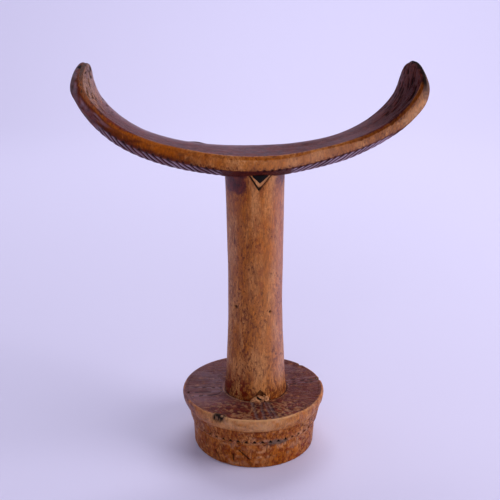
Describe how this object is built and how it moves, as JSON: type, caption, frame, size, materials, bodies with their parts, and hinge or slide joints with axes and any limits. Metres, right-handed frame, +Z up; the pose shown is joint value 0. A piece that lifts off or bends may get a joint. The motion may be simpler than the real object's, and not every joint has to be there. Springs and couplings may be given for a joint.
{
  "type": "headrest",
  "caption": "Carved wooden headrest: a crescent neck cradle with upswept rounded tips on a round column and a banded drum base.",
  "frame": {"origin": "centre of the base's underside, on the surface that the headrest stands on", "axes": "+Z up the column, +X along the cradle from tip to tip, -Y towards the decorated front"},
  "size_m": [0.164, 0.075, 0.199],
  "materials": {
    "base_wood": "worn and oiled, dark stained top, orange-brown sides",
    "column_wood": "handled and oiled, satin, orange-brown with vertical streaks",
    "cradle_wood": "dark stained saddle with a worn orange-brown front edge, satin",
    "neck_inlay": "black, slightly glossy filling",
    "foot_filler": "raw pale wood, matt"
  },
  "bodies": {
    "root": {"base": "base_wood", "column": "column_wood", "cradle": "cradle_wood", "neck_inlay_front": "neck_inlay", "neck_inlay_back": "neck_inlay", "foot_filler": "foot_filler"}
  },
  "joints": []
}
